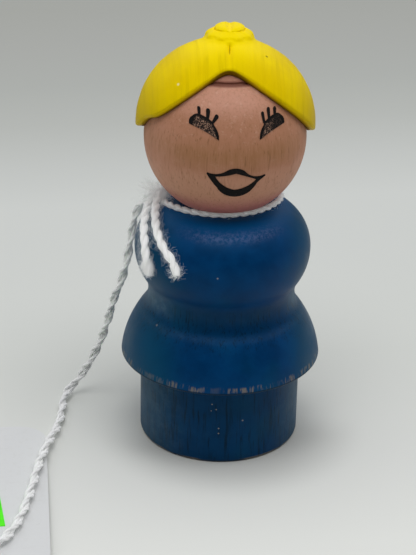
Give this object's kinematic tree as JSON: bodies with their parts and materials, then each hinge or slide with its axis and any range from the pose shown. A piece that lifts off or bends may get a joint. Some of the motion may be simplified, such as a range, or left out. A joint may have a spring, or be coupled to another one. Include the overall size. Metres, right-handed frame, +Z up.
{
  "type": "peg doll",
  "caption": "Turned wooden peg doll with a ball head that turns, a moulded hair cap, printed eyes and mouth, and a string round its neck that carries a plain card tag.",
  "frame": {"origin": "middle of the flat foot, on the surface that the doll stands on", "axes": "+Z up along the doll's axis, the face looks along -Y, +X to the right as one faces the doll"},
  "size_m": [0.0639, 0.0495, 0.058],
  "materials": {
    "body_paint": "satin blue paint on wood",
    "nail_steel": "plain",
    "head_wood": "matt flesh stain, grain shows",
    "hair_plastic": "satin",
    "print_ink": "worn ink",
    "string_cotton": "fuzzy two-strand twist",
    "tag_card": "smooth",
    "sticker_paper": "neon"
  },
  "bodies": {
    "body": {"body": "body_paint", "neck_nail": "nail_steel", "neck_string": "string_cotton", "string_knot": "string_cotton", "string_tail_left": "string_cotton", "string_tail_right": "string_cotton", "string_run": "string_cotton", "tag_loop": "string_cotton", "tag": "tag_card", "tag_sticker": "sticker_paper"},
    "head": {"head": "head_wood", "hair_cap": "hair_plastic", "eye_print_left": "print_ink", "eye_print_right": "print_ink", "mouth_print": "print_ink"}
  },
  "joints": [
    {"name": "head_turn", "type": "hinge", "parent": "body", "child": "head", "pos_m": [0, 0, 0.0437], "axis": [0, 0, 1], "continuous": true}
  ]
}
